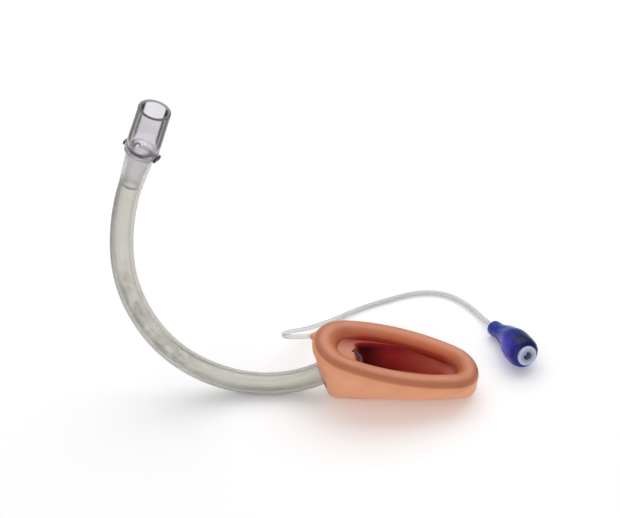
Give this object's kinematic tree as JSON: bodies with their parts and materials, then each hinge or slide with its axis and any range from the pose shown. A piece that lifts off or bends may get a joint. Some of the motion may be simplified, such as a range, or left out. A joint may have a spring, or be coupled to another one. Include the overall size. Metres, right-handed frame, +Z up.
{
  "type": "laryngeal mask airway",
  "caption": "Curved translucent breathing tube with a clear 15 mm connector, an orange inflatable mask, and a thin line to a blue pilot balloon with a check valve.",
  "frame": {"origin": "on the table, under the middle of the box round the tube, connector and mask", "axes": "+X from the tube towards the mask's tip, +Y across the mask, towards the inflation port's side, +Z up, with the tube's curve in the XZ plane"},
  "size_m": [0.2025, 0.0964, 0.1691],
  "materials": {
    "tube": "translucent",
    "connector": "clear polished",
    "bowl": "satin silicone",
    "cuff": "satin silicone",
    "line": "translucent",
    "pilot": "satin",
    "valve_body": "moulded",
    "plunger": "moulded",
    "seal": "matte",
    "spring": "bright wire"
  },
  "bodies": {
    "airway": {"airway_tube": "tube", "connector": "connector", "mask_bowl": "bowl", "cuff": "cuff", "inflation_line": "line", "pilot_balloon": "pilot", "valve_housing": "valve_body", "valve_retainer": "valve_body", "valve_spring": "spring"},
    "plunger": {"valve_plunger": "plunger", "valve_seal": "seal"}
  },
  "joints": [
    {"name": "valve_push", "type": "slide", "parent": "airway", "child": "plunger", "axis": [-0.4271, 0.8792, -0.2111], "range_m": [0, 0.0015], "stiffness_N_per_m": 300, "springref_m": -0.0008, "deforming": ["valve_spring"]}
  ]
}
